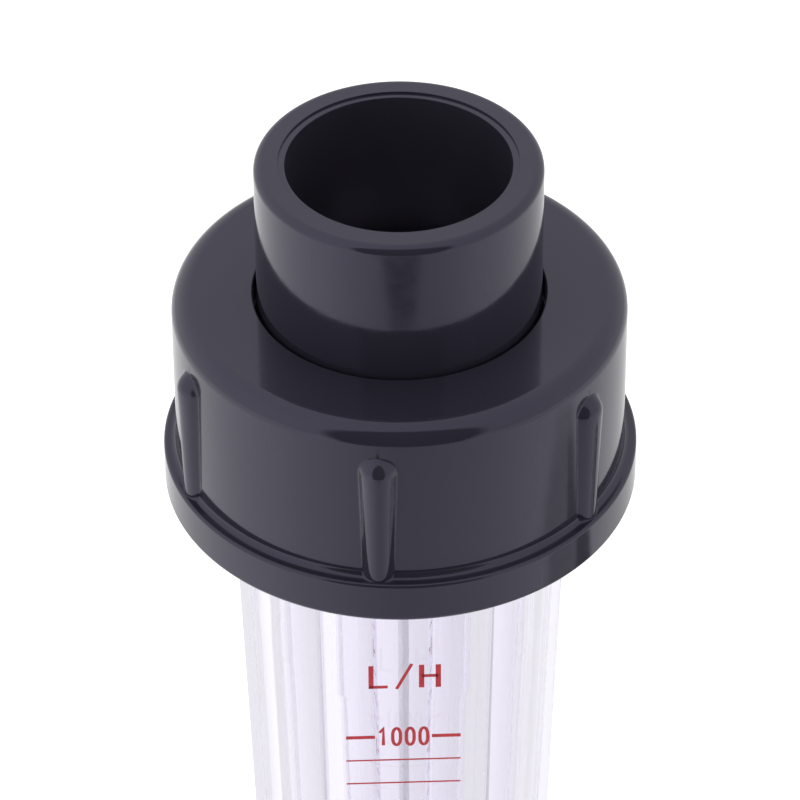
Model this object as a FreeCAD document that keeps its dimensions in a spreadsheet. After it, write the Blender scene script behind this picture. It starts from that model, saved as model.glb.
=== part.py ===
import FreeCAD, Part
import os
import Sketcher
from FreeCAD import Placement, Rotation, Vector

# A plastic-tube rotameter of size DN15: a clear six-sided tube with a tapered bore, in which a
# steel float rides on a rod, and a union (tailpiece, nut and O-ring) at each end for the pipe.
#
# Frame: millimetres, +Z up along the tube's axis, the direction of flow. The origin is on the
# axis in the plane of the lower tailpiece's rim, on which the meter stands. One flat side of the
# tube, the one that carries the scale, faces -Y.
#
# The two ends are alike. An end's pieces are drawn about the tube's seal face, with Z pointing
# out of the tube, and are then set on the upper face, or turned over and set on the lower one.

SIZES = [
    # alias, size, what it is
    ("tube_length", 193.2, "tube, from seal face to seal face"),
    ("bore_top_r", 11.2, "bore above its tapered stretch"),
    ("bore_low_r", 7.05, "bore below its tapered stretch"),
    ("flat_wall_top", 2.78, "bore to the flat sides, at the upper seal face"),
    ("flat_wall_low", 1.44, "bore to the flat sides, at the lower seal face"),
    ("taper_top_gap", 31.6, "from the upper seal face down to the top of the taper"),
    ("taper_low_gap", 24.6, "from the lower seal face up to the foot of the taper"),
    ("mouth_flare", 4.0, "height of the cone from the lower guide's seat to the bore"),
    ("ring_land", 1.0, "wall between a guide's seat and the O-ring groove"),
    ("ring_groove_width", 2.4, "O-ring groove in the seal face, across"),
    ("ring_groove_depth", 1.9, "O-ring groove, and the squeezed ring in it"),
    ("ring_gap", 0.1, "O-ring to each side of its groove"),
    ("ring_corner", 0.57, "O-ring's sloping corners"),
    ("collar_wall", 1.3, "O-ring groove to the root of the tube's thread"),
    ("collar_length", 12.0, "threaded end of the tube, along the axis"),
    ("collar_chamfer", 0.6, "its outer edge at the seal face"),
    ("flare_height", 6.4, "cone between the lower threaded end and the narrow tube"),
    ("flare_wall", 1.75, "bore to the top of that cone, inside the flat sides"),
    ("guide_ledge", 0.7, "ledge that a rod guide is seated on, beyond the bore"),
    ("guide_gap", 0.1, "rod guide to its seat in the tube"),
    ("guide_thick", 3.0, "rod guide, and the depth of its seat"),
    ("guide_rim", 2.0, "rod guide's rim, across"),
    ("guide_hub_wall", 1.8, "rod to the outside of the guide's hub"),
    ("guide_arm_width", 1.5, "each arm of the rod guide"),
    ("rod_r", 0.9, "guide rod"),
    ("rod_tip", 0.7, "rod beyond its nut"),
    ("rod_gap", 0.04, "rod to the holes that it is fixed in"),
    ("washer_wall", 1.4, "rod to the outside of the washer under its nut"),
    ("washer_thick", 0.4, "washer, along the axis"),
    ("rod_nut_wall", 1.41, "rod to the corners of its nut"),
    ("rod_nut_thick", 1.6, "rod nut, along the axis"),
    ("stop_wall", 1.5, "rod to the outside of a stop bush"),
    ("stop_length", 5.0, "stop bush, along the rod"),
    ("float_gap", 0.35, "float's reading edge to the narrow end of the bore"),
    ("float_edge", 1.2, "height of the cylinder at the reading edge"),
    ("float_cone", 14.0, "float's long cone, below the reading edge"),
    ("float_crown", 1.6, "short cone above the reading edge"),
    ("float_foot", 2.0, "float's cylindrical foot"),
    ("float_neck", 2.4, "float's cylindrical head, above its crown"),
    ("float_end_wall", 1.1, "wall of the foot and head, round their bushes"),
    ("bush_wall", 0.92, "wall of the bushes pressed in the float"),
    ("bush_length", 3.0, "each bush pressed in the float"),
    ("bush_gap", 0.02, "bush to the float's bore"),
    ("running_gap", 0.08, "rod to the bushes that run on it"),
    ("socket_bore_r", 10.0, "pipe socket's bore, for a 20 mm pipe"),
    ("socket_wall", 2.85, "pipe socket's wall"),
    ("socket_depth", 16.0, "pipe socket, from the rim to its step"),
    ("socket_step", 2.5, "step at the socket's floor, which stops the pipe"),
    ("socket_stand", 14.0, "rim above the nut's top face"),
    ("mouth_chamfer", 0.55, "chamfer at the socket's mouth"),
    ("rim_bevel", 0.4, "bevelled outer edge of the rim"),
    ("shoulder_inset", 0.2, "tailpiece's shoulder inside the root of the tube's thread"),
    ("shoulder_thick", 4.0, "tailpiece's shoulder, along the axis"),
    ("shoulder_chamfer", 0.4, "shoulder's outer edges"),
    ("nut_height", 20.8, "union nut, along the axis"),
    ("nut_wall", 3.4, "nut's end wall, which bears on the shoulder"),
    ("nut_side_wall", 2.64, "root of the nut's thread to its round body"),
    ("nut_hole_gap", 0.36, "socket to the hole in the nut's end wall"),
    ("nut_round", 2.3, "rounded edge of the nut's end wall"),
    ("nut_lip_step", 1.18, "round body to the flange at the nut's mouth"),
    ("nut_lip_height", 4.2, "flange, along the axis"),
    ("nut_lip_bevel", 0.3, "flange's bevelled edges"),
    ("nut_lip_root", 0.5, "sloping root between the body and the flange"),
    ("nut_seat_gap", 0.5, "shoulder to the plain bore round it"),
    ("nut_seat_length", 4.6, "plain bore, from the end wall"),
    ("nut_thread_gap", 1.3, "root of the tube's thread to the root of the nut's"),
    ("nut_mouth_chamfer", 0.8, "lead-in at the nut's mouth"),
    ("rib_top_r", 1.72, "nut's ribs, half their width at the domed top"),
    ("rib_low_r", 1.38, "nut's ribs, half their width at the flange"),
    ("rib_sink", 0.59, "middle of a rib inside the nut's round body"),
    ("rib_top_gap", 3.0, "nut's top face down to the top of a rib's dome"),
    ("upper_nut_turn", 22.5, "where the upper nut's ribs stand when it is tight, in degrees"),
    ("lower_nut_turn", 11.0, "the same for the lower nut"),
]

RIBS = 6
GUIDE_ARMS = 3

# Derived radii, as expressions on the sheet, from the bore outwards.
SEAT_R = "(Sizes.bore_top_r + Sizes.guide_ledge)"
GUIDE_R = f"({SEAT_R} - Sizes.guide_gap)"
GUIDE_WINDOW_R = f"({GUIDE_R} - Sizes.guide_rim)"
GROOVE_INNER_R = f"({SEAT_R} + Sizes.ring_land)"
GROOVE_OUTER_R = f"({GROOVE_INNER_R} + Sizes.ring_groove_width)"
COLLAR_R = f"({GROOVE_OUTER_R} + Sizes.collar_wall)"
SHOULDER_R = f"({COLLAR_R} - Sizes.shoulder_inset)"
NUT_THREAD_R = f"({COLLAR_R} + Sizes.nut_thread_gap)"
NUT_R = f"({NUT_THREAD_R} + Sizes.nut_side_wall)"
NUT_LIP_R = f"({NUT_R} + Sizes.nut_lip_step)"
SOCKET_R = "(Sizes.socket_bore_r + Sizes.socket_wall)"
ROD_HOLE_R = "(Sizes.rod_r + Sizes.rod_gap)"
FLOAT_R = "(Sizes.bore_low_r - Sizes.float_gap)"
RUNNING_R = "(Sizes.rod_r + Sizes.running_gap)"
FLOAT_BORE_R = f"({RUNNING_R} + Sizes.bush_wall)"

# Heights of an end's pieces above its seal face.
NUT_TOP = "(Sizes.shoulder_thick + Sizes.nut_wall)"
NUT_MOUTH = f"({NUT_TOP} - Sizes.nut_height)"
RIM = f"({NUT_TOP} + Sizes.socket_stand)"
ROD_OUT = "(Sizes.washer_thick + Sizes.rod_nut_thick + Sizes.rod_tip)"

# Heights of the whole meter above the lower rim.
LOW_FACE = RIM
HIGH_FACE = f"({LOW_FACE} + Sizes.tube_length)"
FLOAT_FOOT = f"({LOW_FACE} + Sizes.guide_thick + Sizes.stop_length)"
FLOAT_HEAD = (f"({FLOAT_FOOT} + Sizes.float_foot + Sizes.float_cone + Sizes.float_edge"
              " + Sizes.float_crown + Sizes.float_neck)")

doc = FreeCAD.newDocument("Rotameter")
sheet = doc.addObject("Spreadsheet::Sheet", "Sizes")
for row, (alias, size, meaning) in enumerate(SIZES, start=1):
    sheet.set(f"A{row}", meaning)
    sheet.set(f"B{row}", str(size))
    sheet.setAlias(f"B{row}", alias)
doc.recompute()

pieces = []


def add_body(name):
    """A new body for one physical piece, labelled with the piece's name."""
    body = doc.addObject("PartDesign::Body", name)
    body.Label = name
    pieces.append(body)
    return body


def origin_feature(body, role):
    """One of the body's own origin planes or axes."""
    return next(f for f in body.Origin.OriginFeatures if f.Role == role)


def add_sketch(body, name, role, lift=None):
    """An empty sketch on an origin plane, raised off it by an expression where one is given."""
    sketch = body.newObject("Sketcher::SketchObject", name)
    sketch.AttachmentSupport = [(origin_feature(body, role), "")]
    sketch.MapMode = "FlatFace"
    if lift:
        sketch.setExpression("AttachmentOffset.Base.z", lift)
    return sketch


def fix_point(sketch, line, corner, across, up):
    """Ties a line's first point to expressions for its two coordinates ("0" puts it on an axis)."""
    for kind, expression, start, axis in (("DistanceX", across, corner.x, -2), ("DistanceY", up, corner.y, -1)):
        if expression == "0":
            sketch.addConstraint(Sketcher.Constraint("PointOnObject", line, 1, axis))
        else:
            index = sketch.addConstraint(Sketcher.Constraint(kind, -1, 1, line, 1, start))
            sketch.setExpression(f"Constraints[{index}]", expression)


def add_outline(body, name, points, role="XZ_Plane"):
    """A closed outline through points given as (across, up) expressions."""
    sketch = add_sketch(body, name, role)
    ring = Part.makeCircle(10, Vector(30, 30, 0))
    corners = ring.discretize(Number=len(points) + 1)[:-1]
    for line, corner in enumerate(corners):
        sketch.addGeometry(Part.LineSegment(corner, corners[(line + 1) % len(corners)]))
    for line in range(len(points)):
        sketch.addConstraint(Sketcher.Constraint("Coincident", line, 2, (line + 1) % len(points), 1))
    for line, (across, up) in enumerate(points):
        fix_point(sketch, line, corners[line], across, up)
    return sketch


def turn(body, name, points, cut=False):
    """Turns an outline of (radius, height) expressions about Z, to add or to cut away."""
    kind = "PartDesign::Groove" if cut else "PartDesign::Revolution"
    sketch = add_outline(body, name + "_outline", points)
    feature = body.newObject(kind, name)
    feature.Profile = sketch
    feature.ReferenceAxis = (origin_feature(body, "Z_Axis"), [""])
    feature.Angle = 360
    doc.recompute()
    return feature


def outer_top_edge(feature):
    """The name of the widest circular edge at the top of a feature."""
    rings = []
    for number, edge in enumerate(feature.Shape.Edges, start=1):
        if isinstance(edge.Curve, Part.Circle):
            rings.append((round(edge.Curve.Center.z, 4), edge.Curve.Radius, f"Edge{number}"))
    return max(rings)[2]


def round_edge(body, name, base, edge, size):
    """Fillets one edge of a feature by an expression."""
    fillet = body.newObject("PartDesign::Fillet", name)
    fillet.Base = (base, [edge])
    fillet.setExpression("Radius", size)
    doc.recompute()


def repeat_round(body, name, features, count):
    """Repeats features evenly round the axis."""
    pattern = body.newObject("PartDesign::PolarPattern", name)
    pattern.Originals = features
    pattern.Axis = (origin_feature(body, "Z_Axis"), [""])
    pattern.Angle = 360
    pattern.Occurrences = count
    body.Tip = pattern
    doc.recompute()
    return pattern


def add_hexagon(body, name, flat_r, lift=None):
    """A regular hexagon, sized from its middle to its flat sides, one of which faces -Y."""
    sketch = add_sketch(body, name, "XY_Plane", lift)
    circle = Part.makeCircle(10)
    corners = circle.discretize(Number=7)[:-1]
    for side in range(6):
        sketch.addGeometry(Part.LineSegment(corners[side], corners[(side + 1) % 6]))
    guide = sketch.addGeometry(Part.Circle(Vector(0, 0, 0), Vector(0, 0, 1), 10), True)
    sketch.addConstraint(Sketcher.Constraint("Coincident", guide, 3, -1, 1))
    for side in range(6):
        sketch.addConstraint(Sketcher.Constraint("Coincident", side, 2, (side + 1) % 6, 1))
        sketch.addConstraint(Sketcher.Constraint("PointOnObject", side, 1, guide))
        if side:
            sketch.addConstraint(Sketcher.Constraint("Equal", 0, side))
    sketch.addConstraint(Sketcher.Constraint("PointOnObject", 0, 1, -1))
    size = sketch.addConstraint(Sketcher.Constraint("Radius", guide, 10))
    sketch.setExpression(f"Constraints[{size}]", f"({flat_r}) / cos(30 deg)")
    return sketch


def set_on_face(body, end, turned=None):
    """Sets an end's piece on its seal face, turned about its axis by an expression."""
    if end == "upper":
        body.setExpression("Placement.Base.z", HIGH_FACE)
    else:
        body.setExpression("Placement.Base.z", LOW_FACE)
    spin = Rotation(Vector(0, 0, 1), sheet.get(turned) if turned else 0)
    tip = Rotation(Vector(1, 0, 0), 0 if end == "upper" else 180)
    body.Placement = Placement(body.Placement.Base, tip * spin)
    doc.recompute()


# --- The metering tube -------------------------------------------------------------------------

def make_metering_tube():
    """Clear tube: six tapered flats outside, a tapered round bore, a threaded collar at each end."""
    body = add_body("metering_tube")
    foot = add_hexagon(body, "foot_hexagon", "Sizes.bore_low_r + Sizes.flat_wall_low", LOW_FACE)
    head = add_hexagon(body, "head_hexagon", "Sizes.bore_top_r + Sizes.flat_wall_top", HIGH_FACE)
    flats = body.newObject("PartDesign::AdditiveLoft", "flats")
    flats.Profile = foot
    flats.Sections = [head]
    flats.Ruled = True
    doc.recompute()

    chamfered = f"{COLLAR_R} - Sizes.collar_chamfer"
    top = f"{LOW_FACE} + Sizes.collar_length"
    turn(body, "lower_collar", [
        ("0", LOW_FACE),
        (chamfered, LOW_FACE),
        (COLLAR_R, f"{LOW_FACE} + Sizes.collar_chamfer"),
        (COLLAR_R, top),
        ("Sizes.bore_low_r + Sizes.flare_wall", f"{top} + Sizes.flare_height"),
        ("0", f"{top} + Sizes.flare_height"),
    ])
    turn(body, "upper_collar", [
        ("0", f"{HIGH_FACE} - Sizes.collar_length"),
        (COLLAR_R, f"{HIGH_FACE} - Sizes.collar_length"),
        (COLLAR_R, f"{HIGH_FACE} - Sizes.collar_chamfer"),
        (chamfered, HIGH_FACE),
        ("0", HIGH_FACE),
    ])

    low_seat = f"{LOW_FACE} + Sizes.guide_thick"
    high_seat = f"{HIGH_FACE} - Sizes.guide_thick"
    turn(body, "bore", [
        ("0", LOW_FACE),
        (SEAT_R, LOW_FACE),
        (SEAT_R, low_seat),
        (GUIDE_WINDOW_R, low_seat),
        ("Sizes.bore_low_r", f"{low_seat} + Sizes.mouth_flare"),
        ("Sizes.bore_low_r", f"{LOW_FACE} + Sizes.taper_low_gap"),
        ("Sizes.bore_top_r", f"{HIGH_FACE} - Sizes.taper_top_gap"),
        ("Sizes.bore_top_r", high_seat),
        (SEAT_R, high_seat),
        (SEAT_R, HIGH_FACE),
        ("0", HIGH_FACE),
    ], cut=True)

    for name, face, floor in (
            ("lower_ring_groove", LOW_FACE, f"{LOW_FACE} + Sizes.ring_groove_depth"),
            ("upper_ring_groove", HIGH_FACE, f"{HIGH_FACE} - Sizes.ring_groove_depth")):
        turn(body, name, [
            (GROOVE_INNER_R, face),
            (GROOVE_OUTER_R, face),
            (GROOVE_OUTER_R, floor),
            (GROOVE_INNER_R, floor),
        ], cut=True)


# --- The rod, its guides and fasteners ---------------------------------------------------------

def make_rod():
    """Steel rod down the axis, from beyond one rod nut to beyond the other."""
    body = add_body("guide_rod")
    turn(body, "rod", [
        ("0", f"{LOW_FACE} - {ROD_OUT}"),
        ("Sizes.rod_r", f"{LOW_FACE} - {ROD_OUT}"),
        ("Sizes.rod_r", f"{HIGH_FACE} + {ROD_OUT}"),
        ("0", f"{HIGH_FACE} + {ROD_OUT}"),
    ])


def make_rod_guide(end):
    """Carrier for the rod: a rim in the tube's seat, arms that let the flow past, and a hub."""
    body = add_body(f"{end}_rod_guide")
    sketch = add_sketch(body, "arm_outline", "XY_Plane")
    corners = [Vector(-1, -1, 0), Vector(8, -1, 0), Vector(8, 1, 0), Vector(-1, 1, 0)]
    for side in range(4):
        sketch.addGeometry(Part.LineSegment(corners[side], corners[(side + 1) % 4]))
    for side in range(4):
        sketch.addConstraint(Sketcher.Constraint("Coincident", side, 2, (side + 1) % 4, 1))
    sketch.addConstraint(Sketcher.Constraint("Horizontal", 0))
    sketch.addConstraint(Sketcher.Constraint("Horizontal", 2))
    sketch.addConstraint(Sketcher.Constraint("Vertical", 3))
    sketch.addConstraint(Sketcher.Constraint("PointOnObject", 0, 1, -2))
    sketch.addConstraint(Sketcher.Constraint("Symmetric", 0, 2, 1, 2, -1))
    width = sketch.addConstraint(Sketcher.Constraint("DistanceY", 1, 1, 1, 2, 2))
    sketch.setExpression(f"Constraints[{width}]", "Sizes.guide_arm_width")
    reach = sketch.addConstraint(Sketcher.Constraint("DistanceX", 0, 1, 0, 2, 8))
    sketch.setExpression(f"Constraints[{reach}]", f"{GUIDE_R} - Sizes.guide_rim / 2")
    arm = body.newObject("PartDesign::Pad", "arm")
    arm.Profile = sketch
    arm.Reversed = True
    arm.setExpression("Length", "Sizes.guide_thick")
    doc.recompute()
    repeat_round(body, "arms", [arm], GUIDE_ARMS)

    base = "-Sizes.guide_thick"
    turn(body, "rim", [(GUIDE_WINDOW_R, "0"), (GUIDE_R, "0"), (GUIDE_R, base), (GUIDE_WINDOW_R, base)])
    hub = "Sizes.rod_r + Sizes.guide_hub_wall"
    turn(body, "hub", [("0", "0"), (hub, "0"), (hub, base), ("0", base)])
    turn(body, "rod_hole", [("0", "0"), (ROD_HOLE_R, "0"), (ROD_HOLE_R, base), ("0", base)], cut=True)
    set_on_face(body, end)


def make_sleeve(name, inner, outer, low, high, end=None):
    """A plain round sleeve or washer between two heights."""
    body = add_body(name)
    turn(body, "sleeve", [(inner, low), (outer, low), (outer, high), (inner, high)])
    if end:
        set_on_face(body, end)


def make_rod_nut(end):
    """Small hexagon nut on the rod's end."""
    body = add_body(f"{end}_rod_nut")
    flat = "(Sizes.rod_r + Sizes.rod_nut_wall) * cos(30 deg)"
    sketch = add_hexagon(body, "nut_hexagon", flat, "Sizes.washer_thick")
    pad = body.newObject("PartDesign::Pad", "nut")
    pad.Profile = sketch
    pad.setExpression("Length", "Sizes.rod_nut_thick")
    doc.recompute()
    top = "Sizes.washer_thick + Sizes.rod_nut_thick"
    turn(body, "thread_hole", [
        ("0", "Sizes.washer_thick"),
        (ROD_HOLE_R, "Sizes.washer_thick"),
        (ROD_HOLE_R, top),
        ("0", top),
    ], cut=True)
    set_on_face(body, end)


def make_o_ring(end):
    """Face seal, squeezed flush in its groove, so flat where it meets the floor and the tailpiece."""
    body = add_body(f"{end}_o_ring")
    inner = f"{GROOVE_INNER_R} + Sizes.ring_gap"
    outer = f"{GROOVE_OUTER_R} - Sizes.ring_gap"
    corner = "Sizes.ring_corner"
    turn(body, "ring", [
        (f"{inner} + {corner}", "0"),
        (f"{outer} - {corner}", "0"),
        (outer, f"-{corner}"),
        (outer, f"{corner} - Sizes.ring_groove_depth"),
        (f"{outer} - {corner}", "-Sizes.ring_groove_depth"),
        (f"{inner} + {corner}", "-Sizes.ring_groove_depth"),
        (inner, f"{corner} - Sizes.ring_groove_depth"),
        (inner, f"-{corner}"),
    ])
    set_on_face(body, end)


# --- The float ---------------------------------------------------------------------------------

def make_float():
    """Turned steel float: foot, long cone, reading edge, crown and head, bored for the rod."""
    body = add_body("float_body")
    heights = [FLOAT_FOOT]
    for step in ("float_foot", "float_cone", "float_edge", "float_crown", "float_neck"):
        heights.append(f"{heights[-1]} + Sizes.{step}")
    foot = f"{FLOAT_BORE_R} + Sizes.float_end_wall"
    turn(body, "float", [
        (FLOAT_BORE_R, heights[0]),
        (foot, heights[0]),
        (foot, heights[1]),
        (FLOAT_R, heights[2]),
        (FLOAT_R, heights[3]),
        (foot, heights[4]),
        (foot, heights[5]),
        (FLOAT_BORE_R, heights[5]),
    ])


def make_float_bushes():
    """Plastic bushes pressed in the float's two ends, which run on the rod."""
    outer = f"{FLOAT_BORE_R} - Sizes.bush_gap"
    make_sleeve("float_lower_bush", RUNNING_R, outer, FLOAT_FOOT, f"{FLOAT_FOOT} + Sizes.bush_length")
    make_sleeve("float_upper_bush", RUNNING_R, outer, f"{FLOAT_HEAD} - Sizes.bush_length", FLOAT_HEAD)


# --- The unions --------------------------------------------------------------------------------

def make_socket(end):
    """Tailpiece: a pipe socket with a step at its floor, and a shoulder that the nut pulls on."""
    body = add_body(f"{end}_socket")
    passage = "Sizes.socket_bore_r - Sizes.socket_step"
    chamfer = "Sizes.shoulder_chamfer"
    step = f"{RIM} - Sizes.socket_depth"
    turn(body, "tailpiece", [
        (passage, "0"),
        (f"{SHOULDER_R} - {chamfer}", "0"),
        (SHOULDER_R, chamfer),
        (SHOULDER_R, f"Sizes.shoulder_thick - {chamfer}"),
        (f"{SHOULDER_R} - {chamfer}", "Sizes.shoulder_thick"),
        (SOCKET_R, "Sizes.shoulder_thick"),
        (SOCKET_R, f"{RIM} - Sizes.rim_bevel"),
        (f"{SOCKET_R} - Sizes.rim_bevel", RIM),
        ("Sizes.socket_bore_r + Sizes.mouth_chamfer", RIM),
        ("Sizes.socket_bore_r", f"{RIM} - Sizes.mouth_chamfer"),
        ("Sizes.socket_bore_r", step),
        (passage, step),
    ])
    set_on_face(body, end)


def make_union_nut(end):
    """Union nut: an end wall with a rounded edge, ribs for the grip, a flange at its mouth."""
    body = add_body(f"{end}_union_nut")
    wall = "Sizes.shoulder_thick"
    hole = f"({SOCKET_R} + Sizes.nut_hole_gap)"
    seat = f"({SHOULDER_R} + Sizes.nut_seat_gap)"
    bevel = "Sizes.nut_lip_bevel"
    lip_top = f"{NUT_MOUTH} + Sizes.nut_lip_height"
    blank = turn(body, "shell", [
        (hole, wall),
        (hole, NUT_TOP),
        (NUT_R, NUT_TOP),
        (NUT_R, f"{lip_top} + Sizes.nut_lip_root"),
        (f"{NUT_R} + Sizes.nut_lip_root", lip_top),
        (f"{NUT_LIP_R} - {bevel}", lip_top),
        (NUT_LIP_R, f"{lip_top} - {bevel}"),
        (NUT_LIP_R, f"{NUT_MOUTH} + {bevel}"),
        (f"{NUT_LIP_R} - {bevel}", NUT_MOUTH),
        (f"{NUT_THREAD_R} + Sizes.nut_mouth_chamfer", NUT_MOUTH),
        (NUT_THREAD_R, f"{NUT_MOUTH} + Sizes.nut_mouth_chamfer"),
        (NUT_THREAD_R, f"{wall} - Sizes.nut_seat_length"),
        (seat, f"{wall} - Sizes.nut_seat_length"),
        (seat, wall),
    ])
    round_edge(body, "corner_round", blank, outer_top_edge(blank), "Sizes.nut_round")
    repeat_round(body, "ribs", [add_rib(body, lip_top)], RIBS)
    set_on_face(body, end, f"{end}_nut_turn")


def add_rib(body, foot):
    """One rib: a slim cone with a domed top, sunk to its middle in the nut's side."""
    sketch = add_sketch(body, "rib_outline", "XZ_Plane")
    centre = 20
    points = [Vector(centre, -9, 0), Vector(centre + 1.4, -9, 0), Vector(centre + 1.7, 2, 0), Vector(centre, 4, 0)]
    sketch.addGeometry(Part.LineSegment(points[0], points[1]))
    sketch.addGeometry(Part.LineSegment(points[1], points[2]))
    sketch.addGeometry(Part.ArcOfCircle(Part.Circle(Vector(centre, 2, 0), Vector(0, 0, 1), 1.7), 0, 1.5708))
    sketch.addGeometry(Part.LineSegment(points[3], points[0]))
    sketch.addConstraint(Sketcher.Constraint("Coincident", 0, 2, 1, 1))
    sketch.addConstraint(Sketcher.Constraint("Coincident", 1, 2, 2, 1))
    sketch.addConstraint(Sketcher.Constraint("Coincident", 2, 2, 3, 1))
    sketch.addConstraint(Sketcher.Constraint("Coincident", 3, 2, 0, 1))
    sketch.addConstraint(Sketcher.Constraint("Horizontal", 0))
    sketch.addConstraint(Sketcher.Constraint("Vertical", 3))
    sketch.addConstraint(Sketcher.Constraint("PointOnObject", 2, 3, 3))
    sketch.addConstraint(Sketcher.Constraint("Horizontal", 2, 3, 2, 1))
    for constraint, expression in (
            (Sketcher.Constraint("DistanceX", -1, 1, 0, 1, centre), f"{NUT_R} - Sizes.rib_sink"),
            (Sketcher.Constraint("DistanceX", 0, 1, 0, 2, 1.4), "Sizes.rib_low_r"),
            (Sketcher.Constraint("Radius", 2, 1.7), "Sizes.rib_top_r"),
            (Sketcher.Constraint("DistanceY", -1, 1, 0, 1, -9), f"{foot} - Sizes.nut_lip_bevel"),
            (Sketcher.Constraint("DistanceY", -1, 1, 2, 2, 4), f"{NUT_TOP} - Sizes.rib_top_gap")):
        index = sketch.addConstraint(constraint)
        sketch.setExpression(f"Constraints[{index}]", expression)
    rib = body.newObject("PartDesign::Revolution", "rib")
    rib.Profile = sketch
    rib.ReferenceAxis = (sketch, ["Edge4"])
    rib.Angle = 360
    doc.recompute()
    return rib


make_metering_tube()
make_rod()
inner_face = "-Sizes.guide_thick"
washer_r = "Sizes.rod_r + Sizes.washer_wall"
stop_r = "Sizes.rod_r + Sizes.stop_wall"
for end in ("lower", "upper"):
    make_rod_guide(end)
    make_sleeve(f"{end}_rod_washer", ROD_HOLE_R, washer_r, "0", "Sizes.washer_thick", end)
    make_rod_nut(end)
    make_sleeve(f"{end}_stop", ROD_HOLE_R, stop_r, f"{inner_face} - Sizes.stop_length", inner_face, end)
    make_o_ring(end)
make_float()
make_float_bushes()
for end in ("lower", "upper"):
    make_socket(end)
    make_union_nut(end)
doc.recompute()

for item in doc.Objects:
    if any(word in item.State for word in ("Invalid", "Error")):
        raise RuntimeError(f"{item.Label} failed: {item.State}")
for body in pieces:
    if body.Shape.isNull() or not body.Shape.isValid() or len(body.Shape.Solids) != 1:
        raise RuntimeError(f"{body.Label} is not one valid solid")

os.makedirs("parts", exist_ok=True)
for body in pieces:
    body.Shape.exportStep(os.path.join("parts", f"{body.Label}.step"))
    print(f"{body.Label:20} {body.Shape.Volume:10.1f} mm3")
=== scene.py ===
# %% [markdown]
# A rotameter: a flow meter with a clear tapered tube, in which a steel float rides on a rod, and a
# dark plastic union at each end for the pipe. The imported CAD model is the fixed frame: every height
# below is read from its nodes, and every piece made here rides on one of its bodies. Lengths are in
# metres, as everywhere in Blender, so sizes are written in millimetres and multiplied by MM.

# %% The frame
from math import acos, atan2, ceil, cos, pi, radians, sin, sqrt, tan

import bmesh
import bpy
from mathutils import Matrix, Vector


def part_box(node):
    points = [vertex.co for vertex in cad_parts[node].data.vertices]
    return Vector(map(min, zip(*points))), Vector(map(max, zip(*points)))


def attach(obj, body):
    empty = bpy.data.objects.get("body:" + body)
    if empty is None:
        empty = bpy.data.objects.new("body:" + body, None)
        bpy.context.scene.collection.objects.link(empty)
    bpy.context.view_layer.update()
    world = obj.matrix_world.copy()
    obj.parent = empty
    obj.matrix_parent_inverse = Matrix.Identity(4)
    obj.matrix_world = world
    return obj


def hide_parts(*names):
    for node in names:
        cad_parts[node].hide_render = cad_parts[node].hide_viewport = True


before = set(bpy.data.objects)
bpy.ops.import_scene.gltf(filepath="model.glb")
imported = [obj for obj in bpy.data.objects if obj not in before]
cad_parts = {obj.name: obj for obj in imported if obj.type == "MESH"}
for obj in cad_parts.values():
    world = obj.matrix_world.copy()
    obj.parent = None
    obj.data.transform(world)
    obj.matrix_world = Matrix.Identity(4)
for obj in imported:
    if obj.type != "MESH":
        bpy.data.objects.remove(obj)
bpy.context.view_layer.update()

MM = 0.001
TUBE_LOW, TUBE_HIGH = (corner.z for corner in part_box("metering_tube"))
RIM_LOW, RIM_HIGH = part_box("lower_socket")[0].z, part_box("upper_socket")[1].z
print(f"seal faces at {TUBE_LOW / MM:.1f} and {TUBE_HIGH / MM:.1f} mm, rims at {RIM_LOW / MM:.1f}"
      f" and {RIM_HIGH / MM:.1f} mm")

# %% [markdown]
# Most pieces of a rotameter are turned or moulded round, so they are drawn as an outline and spun.
# The outline is a closed loop of (radius, height) corners in millimetres, and a third number at a
# corner rounds it off, as a tool's nose or a mould's edge does. Real edges are never perfectly
# sharp, and it is these small rounds that catch the light and make a piece look made, not drawn.
# Smooth shading blends the normals of neighbouring faces, so each arc has one more point close
# beside either end. The blend then stays in that narrow strip, and flat walls reflect as flat.

# %% Outlines with rounded corners
ARC_STEP = radians(10)
HOLD = 0.02


def unit(a, b):
    """Direction from one outline point to another."""
    length = sqrt((b[0] - a[0]) ** 2 + (b[1] - a[1]) ** 2)
    return ((b[0] - a[0]) / length, (b[1] - a[1]) / length)


def moved(point, direction, length):
    """A point that lies some way off in a direction."""
    return (point[0] + direction[0] * length, point[1] + direction[1] * length)


def beside(point, towards):
    """A point close by, on the way to another outline point, if there is room."""
    room = sqrt((towards[0] - point[0]) ** 2 + (towards[1] - point[1]) ** 2)
    if room < HOLD:
        return []
    share = min(HOLD, room * 0.3) / room
    return [(point[0] + (towards[0] - point[0]) * share, point[1] + (towards[1] - point[1]) * share)]


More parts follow.
